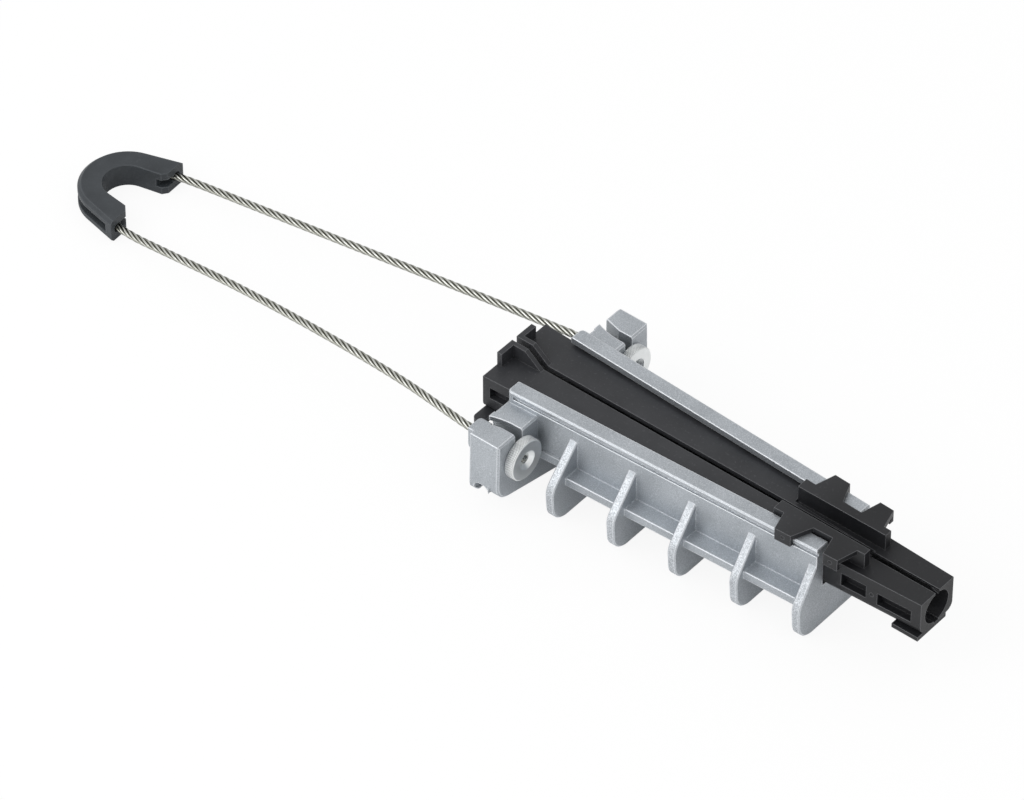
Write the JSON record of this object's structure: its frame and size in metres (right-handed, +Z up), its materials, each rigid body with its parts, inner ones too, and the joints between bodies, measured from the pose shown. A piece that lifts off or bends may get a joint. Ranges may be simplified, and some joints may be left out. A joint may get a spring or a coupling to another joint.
{
  "type": "dead-end anchor clamp",
  "caption": "Wedge-type dead-end clamp for round aerial cable, with a ribbed cast body, sliding plastic jaws and a wire rope bail that ends in a saddle.",
  "frame": {"origin": "centre of the middle rib's underside, on the plane between the jaws", "axes": "+X along the cable towards the clamp's narrow end, +Z up from the ribs to the rims"},
  "size_m": [0.4509, 0.0974, 0.047],
  "materials": {
    "casting": "as cast, fine grain",
    "jaw_plastic": "moulded, dark grey",
    "rope_steel": "bright stranded wire",
    "sleeve_metal": "turned, knurled rim",
    "saddle_plastic": "moulded, black"
  },
  "bodies": {
    "casting": {"clamp_body": "casting"},
    "near_jaw": {"near_wedge": "jaw_plastic"},
    "far_jaw": {"far_wedge": "jaw_plastic"},
    "bail": {"bail_rope": "rope_steel", "near_ferrule": "sleeve_metal", "far_ferrule": "sleeve_metal", "saddle": "saddle_plastic"}
  },
  "joints": [
    {"name": "near_jaw_slide", "type": "slide", "parent": "casting", "child": "near_jaw", "axis": [0.999, 0.0443, 0], "range_m": [-0.033, 0.009]},
    {"name": "far_jaw_slide", "type": "slide", "parent": "casting", "child": "far_jaw", "axis": [0.999, -0.0443, 0], "range_m": [-0.033, 0.009]},
    {"name": "bail_lift", "type": "hinge", "parent": "casting", "child": "bail", "pos_m": [-0.077, 0, 0.0162], "axis": [0, 1, 0], "range_deg": [0, 24]}
  ],
  "couplings": [
    {"joint": "far_jaw_slide", "follows": "near_jaw_slide", "ratio": 1}
  ]
}
